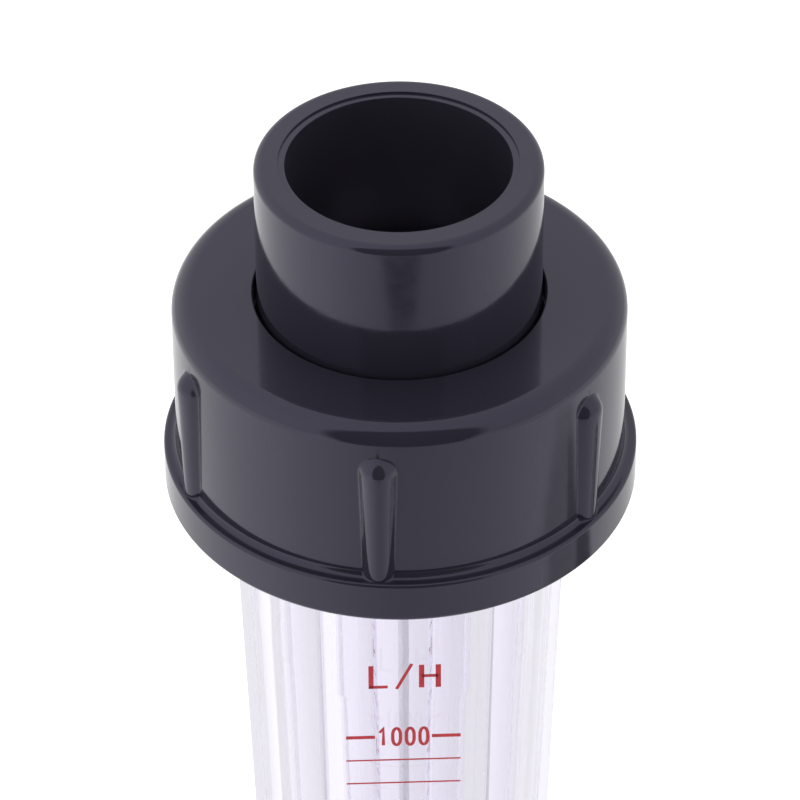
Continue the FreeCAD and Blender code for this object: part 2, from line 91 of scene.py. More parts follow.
def rounded(corners, closed=True):
    """An outline with an arc in place of each corner that has a third number, its radius."""
    points = []
    for index, corner in enumerate(corners):
        at_end = not closed and index in (0, len(corners) - 1)
        if len(corner) < 3 or at_end:
            points.append((corner[0], corner[1]))
            continue
        back = unit(corner, corners[index - 1])
        ahead = unit(corner, corners[(index + 1) % len(corners)])
        half = acos(max(-1, min(1, back[0] * ahead[0] + back[1] * ahead[1]))) / 2
        reach = corner[2] / tan(half)
        start, end = moved(corner, back, reach), moved(corner, ahead, reach)
        to_centre = unit((0, 0), (back[0] + ahead[0], back[1] + ahead[1]))
        centre = moved(corner, to_centre, corner[2] / sin(half))
        first = atan2(start[1] - centre[1], start[0] - centre[0])
        sweep = atan2(end[1] - centre[1], end[0] - centre[0]) - first
        sweep = (sweep + pi) % (2 * pi) - pi
        steps = max(2, ceil(abs(sweep) / ARC_STEP))
        points += beside(start, corners[index - 1])
        for step in range(steps + 1):
            angle = first + sweep * step / steps
            points.append(moved(centre, (cos(angle), sin(angle)), corner[2]))
        points += beside(end, corners[(index + 1) % len(corners)])
    return points


# %% [markdown]
# A spun mesh is a grid: one row for each outline point and one column for each angle. Rows may also
# be functions of the angle, which is all that a thread or a six-sided tube needs. The seam and any
# rows that meet are welded, and the normals are recalculated on the closed result. Edges sharper
# than a given angle stay crisp while the rest is shaded smooth.

# %% Meshes from rows
WELD = 1e-7
SEAM_WELD = 2e-6
CREASE = radians(32)


def even_columns(count):
    """Angles evenly round a full turn, with the first repeated at the end."""
    return [2 * pi * column / count for column in range(count + 1)]


def circles(*points):
    """Rows that are circles, each given as a radius and a height."""
    return [lambda angle, point=point: point for point in points]


def weld(work, distance=WELD):
    """Merges what meets."""
    bmesh.ops.remove_doubles(work, verts=work.verts, dist=distance)
    bmesh.ops.dissolve_degenerate(work, edges=work.edges, dist=WELD)


def write_mesh(work, mesh):
    """Points all faces outwards and fills the mesh."""
    bmesh.ops.recalc_face_normals(work, faces=work.faces)
    work.to_mesh(mesh)
    work.free()


def grid_mesh(name, rows, columns, loop=True, crease=CREASE):
    """A mesh through rows of (radius, height) over the columns' angles, in millimetres."""
    mesh = bpy.data.meshes.new(name)
    work = bmesh.new()
    rings = []
    for row in rows:
        ring = []
        for angle in columns:
            radius, height = row(angle)
            ring.append(work.verts.new((radius * cos(angle) * MM, radius * sin(angle) * MM, height * MM)))
        rings.append(ring)
    above = rings[1:] + rings[:1] if loop else rings[1:]
    for low, high in zip(rings, above):
        for column in range(len(columns) - 1):
            work.faces.new((low[column], low[column + 1], high[column + 1], high[column]))
    weld(work)
    write_mesh(work, mesh)
    smooth(mesh, crease)
    return mesh


def seal(mesh):
    """Merges what meets in a joined mesh."""
    work = bmesh.new()
    work.from_mesh(mesh)
    weld(work, SEAM_WELD)
    write_mesh(work, mesh)


def smooth(mesh, crease=CREASE):
    """Shades a mesh smooth, apart from its creases."""
    mesh.shade_smooth()
    mesh.set_sharp_from_angle(angle=crease)


def spun_mesh(name, corners, count=144, closed=True, crease=CREASE):
    """A mesh spun from an outline; one that isn't closed starts and ends on the axis."""
    return grid_mesh(name, circles(*rounded(corners, closed)), even_columns(count), closed, crease)


def add_object(name, data):
    """A new object in the scene."""
    item = bpy.data.objects.new(name, data)
    bpy.context.scene.collection.objects.link(item)
    return item


def add_piece(name, mesh, material, body, slot, *nodes, place=None):
    """Puts a mesh in the scene as a piece that rides on a body and stands for CAD nodes."""
    if place is not None:
        mesh.transform(place)
    mesh.materials.clear()
    mesh.materials.append(material)
    piece = add_object(name, mesh)
    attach(piece, body)
    if nodes:
        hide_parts(*nodes)
    low = [min(v.co[axis] for v in mesh.vertices) / MM for axis in range(3)]
    high = [max(v.co[axis] for v in mesh.vertices) / MM for axis in range(3)]
    size = " x ".join(f"{b - a:.1f}" for a, b in zip(low, high))
    print(f"{name}: {size} mm, {len(mesh.polygons)} faces")
    return piece


# %% [markdown]
# The two ends of the meter are alike. Their pieces are drawn about the tube's seal face with Z
# pointing out of the tube, and one matrix sets them on the upper face or turns them over onto the
# lower one. A turn keeps a right-hand thread right-handed, where a mirror would spoil it.

# %% Places for the two ends
TO_UPPER = Matrix.Translation((0, 0, TUBE_HIGH))
TO_LOWER = Matrix.Translation((0, 0, TUBE_LOW)) @ Matrix.Rotation(pi, 4, "X")
ENDS = (("upper", TO_UPPER), ("lower", TO_LOWER))
print(f"seal faces {(TUBE_HIGH - TUBE_LOW) / MM:.1f} mm apart")

# %% [markdown]
# Materials are node trees. Small helpers add a node, set its inputs by name and link what is given
# as another node's socket, so each finish below reads as a short list of what it is made of. Noise
# seldom leaves its middle third, so that is the span which colours and roughness are spread over.

# %% Material helpers
NOISE_SPAN = (0.35, 0.65)


def new_material(name):
    """An empty node material with its Principled shader."""
    print(f"material {name}")
    material = bpy.data.materials.new(name)
    material.use_nodes = True
    tree = material.node_tree
    return material, tree, tree.nodes["Principled BSDF"]


def set_inputs(tree, node, inputs):
    """Sets a node's inputs by name or number; a socket is linked."""
    for key, value in inputs.items():
        if isinstance(value, bpy.types.NodeSocket):
            tree.links.new(value, node.inputs[key])
        else:
            node.inputs[key].default_value = value


def add_node(tree, kind, settings=None, **inputs):
    """A node with its settings and inputs."""
    node = tree.nodes.new(kind)
    for key, value in (settings or {}).items():
        setattr(node, key, value)
    set_inputs(tree, node, inputs)
    return node


def calculate(tree, operation, *values):
    """The result of a sum on values or sockets."""
    node = add_node(tree, "ShaderNodeMath", {"operation": operation})
    set_inputs(tree, node, dict(enumerate(values)))
    return node.outputs[0]


def larger(tree, first, second):
    """The larger of two values."""
    return calculate(tree, "MAXIMUM", first, second)


def length_of(tree, vector):
    """The length of a vector."""
    return add_node(tree, "ShaderNodeVectorMath", {"operation": "LENGTH"}, Vector=vector).outputs["Value"]


def own_place(tree, stretch=(1, 1, 1)):
    """The piece's own coordinates, stretched along its axes."""
    spot = add_node(tree, "ShaderNodeTexCoord").outputs["Object"]
    return add_node(tree, "ShaderNodeMapping", Vector=spot, Scale=stretch).outputs["Vector"]


def noise(tree, scale, detail=3.0, stretch=(1, 1, 1)):
    """Noise over the piece's own coordinates."""
    place = own_place(tree, stretch)
    return add_node(tree, "ShaderNodeTexNoise", Vector=place, Scale=scale, Detail=detail).outputs["Fac"]


def ramp(tree, value, low, high, start=NOISE_SPAN[0], end=NOISE_SPAN[1]):
    """A value remapped between two numbers."""
    node = add_node(tree, "ShaderNodeMapRange", Value=value)
    set_inputs(tree, node, {"From Min": start, "From Max": end, "To Min": low, "To Max": high})
    return node.outputs["Result"]


def blend_colours(tree, value, first, second):
    """A colour between two, by a value."""
    node = add_node(tree, "ShaderNodeValToRGB", Fac=value)
    for stop, place, colour in zip(node.color_ramp.elements, NOISE_SPAN, (first, second)):
        stop.position = place
        stop.color = (*colour, 1)
    return node.outputs["Color"]


def bump(tree, height, depth):
    """A bump from a height, whose full range is a depth in millimetres."""
    node = add_node(tree, "ShaderNodeBump", Height=height, Strength=1.0, Distance=depth * MM)
    return node.outputs["Normal"]


def make_finish(name, marks, colours, roughness, depth, **settings):
    """A material whose colour, roughness and bump all follow one set of noise marks."""
    material, tree, shader = new_material(name)
    mark = noise(tree, *marks)
    set_inputs(tree, shader, {
        "Base Color": blend_colours(tree, mark, *colours),
        "Roughness": ramp(tree, mark, *roughness),
    })
    if depth:
        tree.links.new(bump(tree, mark, depth), shader.inputs["Normal"])
    set_inputs(tree, shader, {key.replace("_", " "): value for key, value in settings.items()})
    return material


# %% [markdown]
# The unions are moulded in a dark violet-grey plastic with a semi-gloss skin. Its colour hardly
# changes, so what makes it read as moulded is the roughness: it drifts in soft patches, and a very
# shallow bump keeps reflections from being mirror-straight, as the skin of a thick moulding does.
# The sockets' bores, where pipe is cemented in, are left matt by the mould's core: the distance
# from the Z axis tells the material where they are.

# %% Dark moulded plastic
BORE_MATT = 0.36
BORE_EDGE = (10.3 * MM, 10.5 * MM)


def make_dark_plastic():
    """Semi-gloss dark plastic of the unions."""
    material, tree, shader = new_material("dark_moulded_plastic")
    patches = noise(tree, 60.0, detail=2.0)
    grain = noise(tree, 900.0, detail=4.0)
    skin = noise(tree, 220.0, detail=2.0)
    from_axis = length_of(tree, own_place(tree, (1, 1, 0)))
    matt = ramp(tree, from_axis, BORE_MATT, 0.0, *BORE_EDGE)
    set_inputs(tree, shader, {
        "Base Color": blend_colours(tree, patches, (0.021, 0.019, 0.029), (0.024, 0.022, 0.033)),
        "Roughness": larger(tree, ramp(tree, grain, 0.07, 0.11), matt),
        "Normal": bump(tree, skin, 0.012),
        "IOR": 1.62,
        # Painted light: the violet specular tint gives the reflections the violet cast of the light, which
        # the lamps and world don't have.
        "Specular Tint": (0.77, 0.73, 1.0, 1),
    })
    return material


DARK_PLASTIC = make_dark_plastic()

# %% [markdown]
# The tube is clear styrene-type plastic: full transmission, almost no roughness, and a faint
# lavender tint. Faint flow streaks run along it, the way that melt runs down a long mould, and
# they are a bump so slight that they only break up the brightest reflections.

# %% Clear plastic
CLEAR_PLASTIC = make_finish(
    "clear_tube_plastic", (160.0, 2.0, (1, 1, 0.04)),
    ((0.900, 0.880, 0.958), (0.915, 0.895, 0.965)), (0.0, 0.03), 0.0003,
    Transmission_Weight=1.0, IOR=1.5)

# %% [markdown]
# Steel comes in two finishes here. The float is turned, so its tool marks are fine rings that
# depend on the height alone, and the rod is drawn, so its marks run along it. Both are metallic
# with a roughness and a bump that follow those marks.

# %% Steels
def make_steel(name, marks, dull, pale):
    """Stainless steel whose tool marks are noise stretched round it or along it."""
    light = pale + 0.1
    colours = ((pale, pale, pale + 0.01), (light, light, light + 0.01))
    return make_finish(name, marks, colours, (dull, dull + 0.14), 0.004, Metallic=1.0)


TURNED_STEEL = make_steel("turned_steel", (9000.0, 3.0, (0.04, 0.04, 1)), 0.20, 0.56)
DRAWN_STEEL = make_steel("drawn_steel", (5000.0, 3.0, (1, 1, 0.03)), 0.24, 0.76)

# %% [markdown]
# The rod guides and the float's bushes are satin white plastic, and the seals are matt black
# rubber. White plastic lets a little light under its skin, which softens its shadows.

# %% White plastic and rubber
def make_white_plastic():
    """Satin white bearing plastic."""
    material, tree, shader = new_material("white_bearing_plastic")
    patches = noise(tree, 180.0)
    set_inputs(tree, shader, {
        "Base Color": blend_colours(tree, patches, (0.74, 0.74, 0.71), (0.80, 0.80, 0.78)),
        "Roughness": ramp(tree, patches, 0.34, 0.46),
        "Normal": bump(tree, noise(tree, 2500.0), 0.006),
        "Subsurface Weight": 0.08,
        "Subsurface Scale": 1.0 * MM,
    })
    return material


WHITE_PLASTIC = make_white_plastic()
RUBBER = make_finish("seal_rubber", (1200.0, 4.0), ((0.012, 0.012, 0.013), (0.022, 0.022, 0.023)),
                     (0.55, 0.72), 0.01)

# %% [markdown]
# The scale is printed in red ink straight onto the tube's front flat. Screen-printed ink is thin
# and slightly uneven, so its colour drifts a little and it has a soft gloss.

# %% Ink
INK = make_finish("red_ink", (1500.0,), ((0.50, 0.022, 0.035), (0.62, 0.035, 0.050)), (0.35, 0.5), 0)

# %% [markdown]
# The camera looks down at the upper union from in front, with a long lens, which keeps the ellipses
# of the round pieces calm. It is placed from the frame: out in front of the axis and above the
# upper rim, turned to the axis, pitched down, and rolled by a hair, as a hand-set camera is.

# %% Camera
def make_camera():
    """A long-lens camera, in front of and above the upper union."""
    data = bpy.data.cameras.new("camera")
    data.sensor_width = 36
    data.lens = 218.9
    data.clip_start = 0.01
    data.clip_end = 20
    camera = add_object("camera", data)
    around = radians(-1.96)
    out = 347.1 * MM
    up = 251.3 * MM
    pitch = radians(38.71)
    roll = radians(-0.3)
    camera.location = (sin(around) * out, -cos(around) * out, RIM_HIGH + up)
    turn = Matrix.Rotation(around, 4, "Z") @ Matrix.Rotation(pi / 2 - pitch, 4, "X")
    camera.rotation_euler = (turn @ Matrix.Rotation(roll, 4, "Z")).to_euler()
    bpy.context.scene.camera = camera
    return camera


camera = make_camera()
print(f"camera {camera.location.length:.3f} m from the origin, lens {camera.data.lens:.0f} mm")

# %% [markdown]
# The studio is a white sweep: a pale floor that the meter stands on, a world that is white to the
# camera and in reflections, and large soft lamps. The floor adds a little white of its own for
# camera, glossy and transmission rays only, so it reads as white where the light is full and still
# keeps the meter's soft shadow, without throwing more light on the object. For glossy and
# transmission rays that white fades from left to right, as a window at one side makes it do, and
# it is what models the dark walls. The lamps are hidden from reflections, which would show them as
# hard-edged squares on plastic as glossy as this.

# %% Studio
FLOOR_HALF = 3.0
AMBIENT = 0.70


def add_card(name, across, along, lying=True):
    """A flat card, lying or upright, given by half its sides."""
    print(f"card {name}: {2 * across:.2f} x {2 * along:.2f} m")
    corners = [(-across, -along), (across, -along), (across, along), (-across, along)]
    mesh = bpy.data.meshes.new(name)
    mesh.from_pydata([(x, y, 0) if lying else (x, 0, y) for x, y in corners], [], [(0, 1, 2, 3)])
    return add_object(name, mesh)


def x_of(tree, spot):
    """The X part of a place."""
    return add_node(tree, "ShaderNodeSeparateXYZ", Vector=spot).outputs["X"]


def make_floor():
    """A wide pale floor under the meter."""
    floor = add_card("floor", FLOOR_HALF, FLOOR_HALF)
    material, tree, shader = new_material("floor_white")
    path = add_node(tree, "ShaderNodeLightPath").outputs
    direct = ramp(tree, path["Is Camera Ray"], 0.0, 0.45, 0.0, 1.0)
    other = larger(tree, path["Is Glossy Ray"], path["Is Transmission Ray"])
    fade = ramp(tree, x_of(tree, own_place(tree)), 0.25, 0.02, -0.15, 0.15)
    set_inputs(tree, shader, {
        "Base Color": (0.82, 0.82, 0.82, 1),
        "Roughness": 0.9,
        "Emission Color": (1, 1, 1, 1),
        "Emission Strength": larger(tree, direct, calculate(tree, "MULTIPLY", other, fade)),
    })
    floor.data.materials.append(material)


def make_world():
    """White to the camera and in reflections, softer as light."""
    world = bpy.data.worlds.new("studio")
    bpy.context.scene.world = world
    world.use_nodes = True
    tree = world.node_tree
    path = add_node(tree, "ShaderNodeLightPath").outputs
    heading = add_node(tree, "ShaderNodeTexCoord").outputs["Generated"]
    fade = ramp(tree, x_of(tree, heading), 1.0, 0.74, -0.8, 0.1)
    reflected = calculate(tree, "MULTIPLY", path["Is Glossy Ray"], fade)
    through = ramp(tree, path["Is Transmission Ray"], 0.0, 0.96)
    seen = larger(tree, path["Is Camera Ray"], through)
    strength = larger(tree, larger(tree, reflected, seen), AMBIENT)
    set_inputs(tree, tree.nodes["Background"], {"Color": (1, 1, 1, 1), "Strength": strength})


def add_lamp(name, size, power, spot, aim):
    """A large soft area lamp aimed at a point."""
    print(f"lamp {name}: {size} m wide, {power} W")
    data = bpy.data.lights.new(name, "AREA")
    data.shape = "SQUARE"
    data.size = size
    data.energy = power
    lamp = add_object(name, data)
    lamp.visible_glossy = False
    lamp.location = spot
    lamp.rotation_euler = (Vector(aim) - Vector(spot)).to_track_quat("-Z", "Y").to_euler()


make_floor()
make_world()
MIDDLE = (0, 0, (TUBE_LOW + TUBE_HIGH) / 2)
add_lamp("overhead", 1.2, 5.0, (0, 0.25, 1.3), MIDDLE)
add_lamp("left_panel", 0.9, 3.0, (-1.2, -0.4, 0.7), MIDDLE)
add_lamp("right_panel", 0.9, 2.5, (1.2, -0.2, 0.6), MIDDLE)

# %% [markdown]
# Dark glossy plastic shows the room more than its own colour, so its looks are made by what stands
# round it. One dark card, a flag such as a studio hangs, is upright in front, where the camera and
# the person behind it would be, and darkens the nut's rounded edge. Three dark sheets lie on the
# table as painted shade, for the shade on the table in front and at the right: a wide faint one that
# darkens the front of the walls, a narrow strip that paints the dark patch on the socket, and one on
# the right beside the rib. All have feathered edges, and only reflections see them, so they throw no shadow
# and don't dim the tube.

# %% Flag and painted shade sheets
def add_reflection_card(name, spot, half, lying, dark, feather):
    """A soft-edged dark card, upright or lying, that only reflections see; a lying one is painted shade."""
    across, along = half
    dark_sheet = add_card(name, across, along, lying)
    dark_sheet.location = spot
    material, tree, shader = new_material(name)
    set_inputs(tree, shader, {"Base Color": (0.02, 0.02, 0.025, 1), "Roughness": 1.0})
    share = (1 / across, 1 / along, 1) if lying else (1 / across, 1, 1 / along)
    cover = ramp(tree, length_of(tree, own_place(tree, share)), dark, 0.0, feather, 1.0)
    clear = add_node(tree, "ShaderNodeBsdfTransparent").outputs["BSDF"]
    mix = add_node(tree, "ShaderNodeMixShader", Fac=cover)
    set_inputs(tree, mix, {1: clear, 2: shader.outputs["BSDF"]})
    tree.links.new(mix.outputs["Shader"], tree.nodes["Material Output"].inputs["Surface"])
    dark_sheet.data.materials.append(material)
    for ray in ("camera", "diffuse", "transmission", "volume_scatter", "shadow"):
        setattr(dark_sheet, f"visible_{ray}", False)


add_reflection_card("flag_upright", (0, -0.42, 0.36), (0.34, 0.56), False, 0.97, 0.80)
# Painted shade: the three lying sheets darken the reflected table, in front and at the right.
add_reflection_card("flag_lying", (0, -0.30, 0.002), (0.31, 0.30), True, 0.40, 0.10)
add_reflection_card("flag_strip", (0, -0.312, 0.004), (0.115, 0.015), True, 0.97, 0.50)
add_reflection_card("flag_right", (0.165, -0.0145, 0.002), (0.125, 0.085), True, 0.85, 0.90)

# %% [markdown]
# The Standard view shows colours as they were chosen, with no film look, so white stays white. Light
# crosses many walls on its way through the tube, and a path that is cut short comes back black. The
# limits on bounces are raised for that reason alone.

# %% View and bounces
scene = bpy.context.scene
scene.view_settings.view_transform = "Standard"
scene.cycles.max_bounces = 24
scene.cycles.glossy_bounces = 16
scene.cycles.transmission_bounces = 20
print(f"view {scene.view_settings.view_transform}, up to {scene.cycles.max_bounces} bounces")

# %% [markdown]
# A tailpiece is a pipe socket: a plain ring that the pipe is glued into, with a shoulder at its
# foot that the union nut pulls against the seal. It is spun from one outline. The mouth has a
# shallow ledge and a bore that narrows a little, to lead the pipe in, and the rim's outer edge has
# a mould's small round.

# %% Tailpieces
SHOULDER_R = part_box("upper_socket")[1].x / MM
SHOULDER_T = 4.0
SOCKET_R = 12.85
SOCKET_BORE_R = 10.0
SOCKET_DEPTH = 16.0
PASSAGE_R = 7.5
LEDGE_R = 10.7
LEDGE_DROP = 0.2
LEAD_IN = 0.08
LEAD_DEPTH = 4.0
RIM = (RIM_HIGH - TUBE_HIGH) / MM

SOCKET_OUTLINE = [
    (PASSAGE_R, 0, 0.3),
    (SHOULDER_R, 0, 0.4),
    (SHOULDER_R, SHOULDER_T, 0.4),
    (SOCKET_R, SHOULDER_T, 0.3),
    (SOCKET_R, RIM, 0.75),
    (LEDGE_R, RIM, 0.04),
    (LEDGE_R, RIM - LEDGE_DROP),
    (SOCKET_BORE_R + LEAD_IN, RIM - LEDGE_DROP, 0.06),
    (SOCKET_BORE_R, RIM - LEAD_DEPTH),
    (SOCKET_BORE_R, RIM - SOCKET_DEPTH, 0.3),
    (PASSAGE_R, RIM - SOCKET_DEPTH, 0.4),
]
for end, place in ENDS:
    mesh = spun_mesh(f"{end}_tailpiece", SOCKET_OUTLINE, count=192)
    add_piece(f"{end}_tailpiece_body", mesh, DARK_PLASTIC, f"{end}_tailpiece", "dark_plastic",
              f"{end}_socket", place=place)

# %% [markdown]
# The tube's ends and the nuts carry a coarse right-hand thread. A thread is a wall whose rows climb
# by one pitch in a turn, so that the last column meets the first one row-group higher up. Rows that
# would run past the wall's ends are held there and welded away. The ridge fades out at both ends,
# as a moulded thread does. The nut's ridges stand in the middle of the tube's grooves.

# %% Thread rows
PITCH = 3.0
THREAD_R = 16.6
THREAD_CREST = 17.5
NUT_ROOT_R = 17.9
NUT_CREST = 17.0
FADE = 1.6
OUTSIDE_RIDGE = ((0.0, 0), (0.23, 0), (0.36, 1), (0.64, 1), (0.77, 0))
INSIDE_RIDGE = ((0.0, 1), (0.12, 1), (0.26, 0), (0.74, 0), (0.88, 1))


def thread_rows(face, low, high, root, crest, ridge, pitch=PITCH, fade=FADE):
    """Rows of a threaded wall from one height to another; the ridge is set off from the seal face."""
    def row(turn, share, lift):
        def place(angle):
            height = min(max(face + (turn + share + angle / (2 * pi)) * pitch, low), high)
            full = min(1, (height - low) / fade, (high - height) / fade)
            return (root + (crest - root) * lift * max(0, full), height)
        return place

    first = int((low - face) // pitch) - 1
    last = int((high - face) // pitch) + 1
    return [row(turn, share, lift) for turn in range(first, last + 1) for share, lift in ridge]


# %% [markdown]
# A union nut is a thick ring with an end wall that bears on the tailpiece's shoulder, a rounded
# edge above, six grip ribs down its side and a flange at its mouth. The outside is a height field
# round the axis: a rib is a slim cone with a domed top, sunk in the wall, and a soft maximum of the
# two gives the small fillet where they meet. One sixth of that outside is made here as a sector,
# with closely spaced columns at the rib, and Geometry Nodes repeats it. The rest, with the thread,
# is one spun shell whose columns match the sector's, so that the two weld into one closed mesh. The
# flange stays a few microns inside the CAD model's box, so that dressing doesn't change its size.

# %% Nut sizes
NUT_BOX_LOW, NUT_BOX_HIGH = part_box("upper_union_nut")
SKIN_GAP = 0.006
LIP_HEIGHT = 4.2
LIP_ROUND = 0.3
LIP_ROOT = 0.6
MOUTH_CHAMFER = 0.8
NUT_R = 20.54
LIP_R = NUT_BOX_HIGH.x / MM - SKIN_GAP
NUT_TOP = (NUT_BOX_HIGH.z - TUBE_HIGH) / MM
NUT_MOUTH = (NUT_BOX_LOW.z - TUBE_HIGH) / MM
LIP_TOP = NUT_MOUTH + LIP_HEIGHT
LIP_SEAM_R = LIP_R - LIP_ROUND - HOLD
NUT_HOLE_R = 13.21
NUT_SEAT_R = SHOULDER_R + 0.5
SEAT_LOW = SHOULDER_T - 4.6
NUT_ROUND = 1.8
ROUND_ROOM = 0.001
WALL_TOP = NUT_TOP - NUT_ROUND
RIBS = 6
RIB_AXIS_R = 19.95
RIB_TOP_R = 1.72
RIB_FOOT_R = 1.38
RIB_CENTRE = NUT_TOP - 3.0 - RIB_TOP_R
RIB_FILLET = 0.5
STRAIGHT_ROWS = 8
DOME_ROWS = 14
NUT_TURNS = {"upper": 22.5, "lower": 11.0}
print(f"nut {NUT_TOP - NUT_MOUTH:.1f} mm high, flange radius {LIP_R:.2f} mm, {RIBS} ribs")

# %% [markdown]
# Only the columns that cross a rib need to be close together, so the sector has two spacings. The
# rib's radius is zero beside it, and the soft maximum then leaves the plain wall as it is.

# %% Rib sector
def rib_radius(angle, height):
    """How far out a rib's surface is, at an angle from its middle; zero where there is none."""
    if height > RIB_CENTRE:
        rest = RIB_TOP_R ** 2 - (height - RIB_CENTRE) ** 2
        half = sqrt(rest) if rest > 0 else 0
    else:
        half = RIB_FOOT_R + (RIB_TOP_R - RIB_FOOT_R) * (height - LIP_TOP) / (RIB_CENTRE - LIP_TOP)
    side = RIB_AXIS_R * sin(angle)
    if abs(side) >= half:
        return 0
    return RIB_AXIS_R * cos(angle) + sqrt(half ** 2 - side ** 2)


def soft_max(a, b, width):
    """The larger of two numbers, rounded over where they are close."""
    near = max(width - abs(a - b), 0) / width
    return max(a, b) + near * near * width / 4


def wall_row(radius, height):
    """A row of the nut's outside, pushed out where a rib stands."""
    def place(angle):
        off = (angle + pi / RIBS) % (2 * pi / RIBS) - pi / RIBS
        return (soft_max(radius, rib_radius(off, height), RIB_FILLET), height)
    return place


def sector_columns():
    """Angles across one rib's sector: close together at the rib and wider beside it."""
    edge = radians(6)
    side = pi / RIBS
    fine, coarse = 24, 12
    rib = [edge * (step / fine - 1) for step in range(2 * fine + 1)]
    before = [-side + (side - edge) * step / coarse for step in range(coarse)]
    after = [edge + (side - edge) * (step + 1) / coarse for step in range(coarse)]
    return before + rib + after


def wall_heights():
    """Heights of the wall's rows: few on the straight rib, more over its dome."""
    low = LIP_TOP + LIP_ROOT + HOLD
    straight = [low + (RIB_CENTRE - low) * step / STRAIGHT_ROWS for step in range(STRAIGHT_ROWS)]
    dome = [RIB_CENTRE + RIB_TOP_R * sin(pi / 2 * step / DOME_ROWS) for step in range(DOME_ROWS + 1)]
    return straight + dome + [WALL_TOP - HOLD, WALL_TOP]


def nut_sector():
    """One sixth of the nut's outside, from the flange's top face up to the rounded edge."""
    corners = [(LIP_SEAM_R, LIP_TOP), (NUT_R, LIP_TOP, LIP_ROOT), (NUT_R, LIP_TOP + 2)]
    root = rounded(corners, closed=False)[:-1]
    rows = circles(root[0]) + [wall_row(radius, height) for radius, height in root[1:]]
    rows += [wall_row(NUT_R, height) for height in wall_heights() if height > root[-1][1]]
    return grid_mesh("nut_sector", rows, sector_columns(), loop=False)


print(f"sector: {len(sector_columns())} columns, {len(wall_heights())} rows up the wall")

# %% [markdown]
# Repeating round the axis is a small Geometry Nodes tree: a point for each copy, an instance of the
# sector on each point, turned by its share of the circle, then the shell joined in, the copies
# realized, and everything within a hair's breadth merged. The tree's sizes are named inputs.

# %% Geometry Nodes: repeat round the axis
REPEAT_INPUTS = (
    ("Sector", "Geometry", None),
    ("Count", "Int", 6),
    ("First Angle", "Float", 0.0),
    ("Shell", "Object", None),
    ("Material", "Material", None),
)
MERGE_WITHIN = 0.002 * MM


def start_tree(name, inputs):
    """A node tree with its named inputs and one output; returns the tree and what it is given."""
    tree = bpy.data.node_groups.new(name, "GeometryNodeTree")
    for label, kind, value in inputs:
        socket = tree.interface.new_socket(name=label, in_out="INPUT", socket_type=f"NodeSocket{kind}")
        if value is not None:
            socket.default_value = value
    tree.interface.new_socket(name="Geometry", in_out="OUTPUT", socket_type="NodeSocketGeometry")
    return tree, tree.nodes.new("NodeGroupInput").outputs


def finish_tree(tree, parts, material, merge=0):
    """Joins the parts, realizes the copies, merges what meets if asked and sets the material."""
    join = tree.nodes.new("GeometryNodeJoinGeometry")
    for part in parts:
        tree.links.new(part, join.inputs[0])
    solid = add_node(tree, "GeometryNodeRealizeInstances", Geometry=join.outputs[0]).outputs[0]
    if merge:
        solid = add_node(tree, "GeometryNodeMergeByDistance", Geometry=solid, Distance=merge).outputs[0]
    done = add_node(tree, "GeometryNodeSetMaterial", Geometry=solid, Material=material).outputs[0]
    tree.links.new(done, tree.nodes.new("NodeGroupOutput").inputs[0])


def repeat_tree():
    """Copies a sector round Z, joins a shell, merges the seams and sets the material."""
    tree, given = start_tree("repeat_round_axis", REPEAT_INPUTS)
    points = add_node(tree, "GeometryNodeMeshLine", Count=given["Count"], Offset=(0, 0, 0)).outputs["Mesh"]
    index = add_node(tree, "GeometryNodeInputIndex").outputs["Index"]
    step = calculate(tree, "DIVIDE", 2 * pi, given["Count"])
    turn = calculate(tree, "MULTIPLY_ADD", index, step, given["First Angle"])
    facing = add_node(tree, "ShaderNodeCombineXYZ", Z=turn).outputs["Vector"]
    copies = add_node(tree, "GeometryNodeInstanceOnPoints", Points=points, Instance=given["Sector"],
                      Rotation=facing).outputs["Instances"]
    shell = add_node(tree, "GeometryNodeObjectInfo", Object=given["Shell"]).outputs["Geometry"]
    finish_tree(tree, (copies, shell), given["Material"], MERGE_WITHIN)
    return tree


def run_tree(tree, mesh, **inputs):
    """Runs a tree on a mesh and returns the plain mesh that comes out."""
    holder = add_object("holder", mesh)
    modifier = holder.modifiers.new("nodes", "NODES")
    modifier.node_group = tree
    items = [item for item in tree.interface.items_tree if item.item_type == "SOCKET"]
    sockets = {item.name: item.identifier for item in items}
    for name, value in inputs.items():
        modifier[sockets[name.replace("_", " ")]] = value
    graph = bpy.context.evaluated_depsgraph_get()
    result = bpy.data.meshes.new_from_object(holder.evaluated_get(graph))
    bpy.data.objects.remove(holder)
    return result


REPEAT = repeat_tree()
print(f"{REPEAT.name}: {len(REPEAT.nodes)} nodes, {len(REPEAT_INPUTS)} inputs")

# %% [markdown]
# The shell starts where the ribbed side ends, at the rounded edge, runs over the end wall and down
# through the hole, the plain seat and the thread, and comes back up round the flange. The rounded
# edge is a hair smaller than its wall, so that its arc has room to end at the seam.

